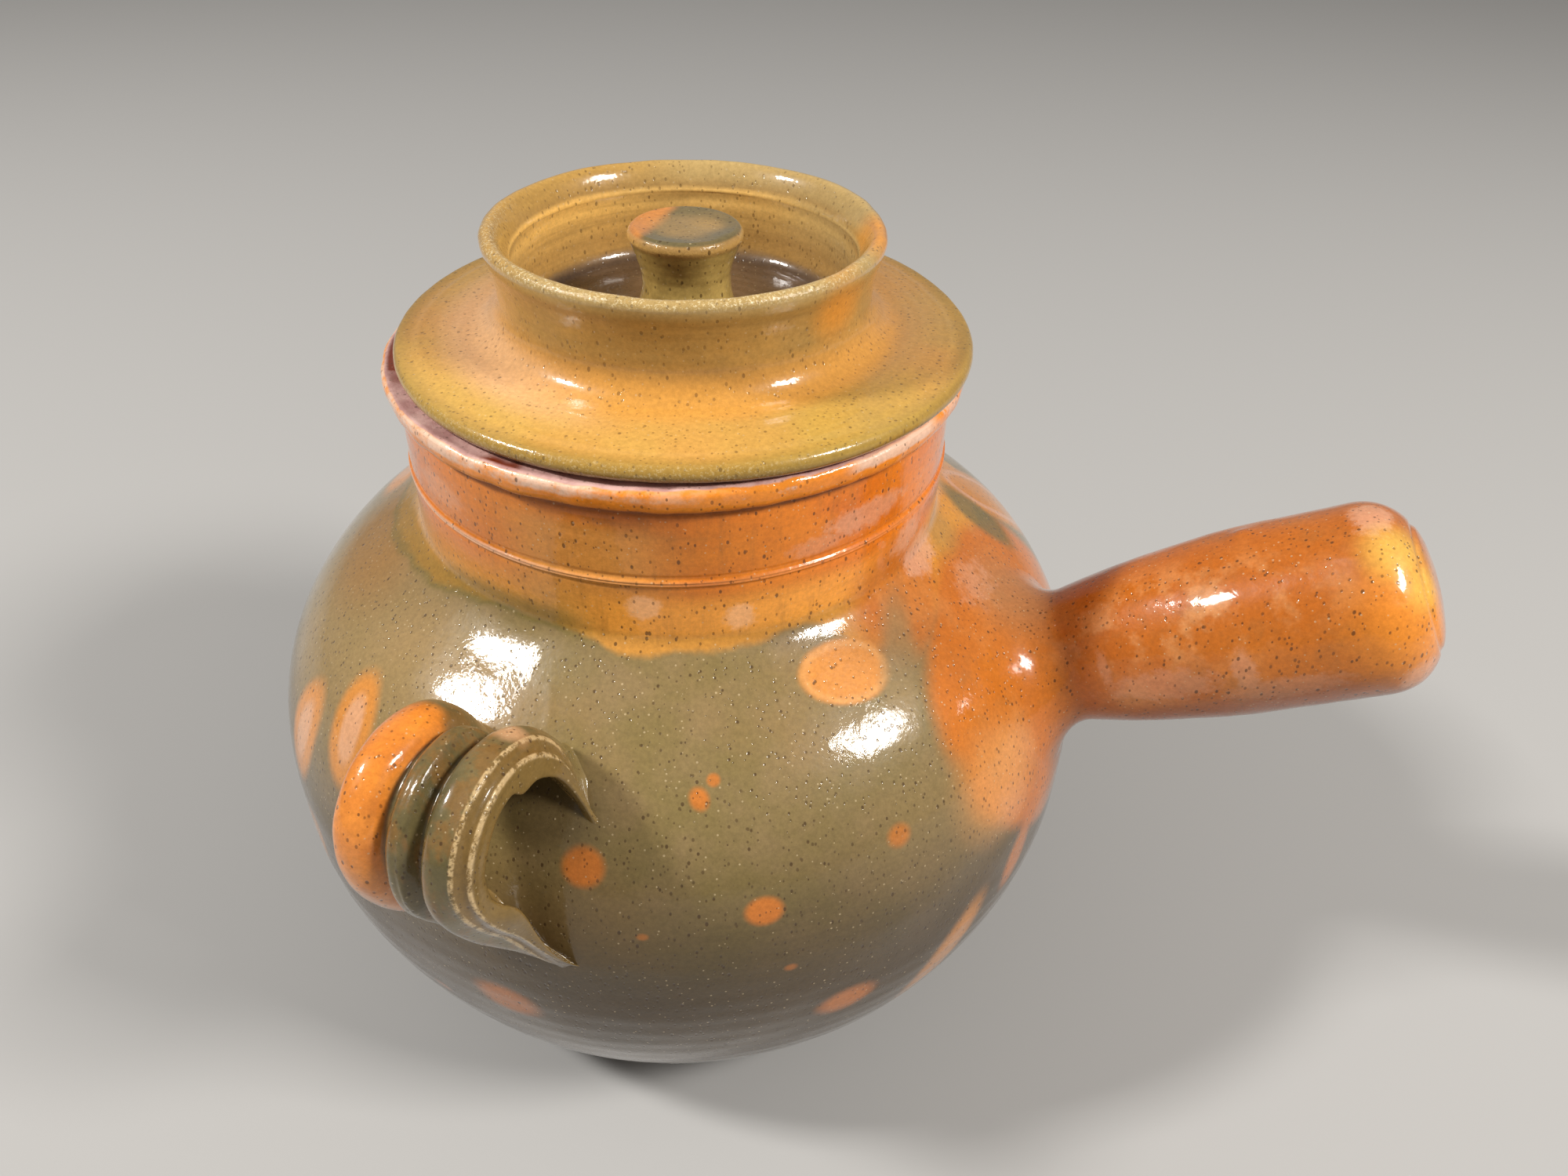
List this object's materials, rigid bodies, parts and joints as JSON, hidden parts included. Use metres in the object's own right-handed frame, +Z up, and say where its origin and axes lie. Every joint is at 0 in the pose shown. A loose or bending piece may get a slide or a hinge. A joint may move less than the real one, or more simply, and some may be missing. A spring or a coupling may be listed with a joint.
{
  "type": "stew pot",
  "caption": "Glazed earthenware stew pot with narrow neck, long side handle, ribbed loop handle and a lift-off lid with a raised ring and knob",
  "frame": {"origin": "centre of the flat base, on the pot's own axis", "axes": "+Z up out of the mouth, +X towards the long handle seen from above, the loop handle near -Y"},
  "size_m": [0.3464, 0.2787, 0.2483],
  "materials": {
    "pot_glaze": "high gloss olive-brown glaze with fine dark speckle and soft orange spots",
    "handle_glaze": "high gloss orange-terracotta glaze with fine specks and pale scuffs",
    "loop_glaze": "high gloss olive and orange glaze, golden brown on the edges",
    "lid_glaze": "high gloss mustard and ochre glaze",
    "knob_glaze": "high gloss olive-ochre glaze"
  },
  "bodies": {
    "pot": {"pot_body": "pot_glaze", "long_handle": "handle_glaze", "loop_handle": "loop_glaze"},
    "lid": {"lid": "lid_glaze", "lid_knob": "knob_glaze"}
  },
  "joints": [
    {"name": "lid_lift", "type": "slide", "parent": "pot", "child": "lid", "axis": [0, 0, 1], "range_m": [0, 0.12]}
  ]
}
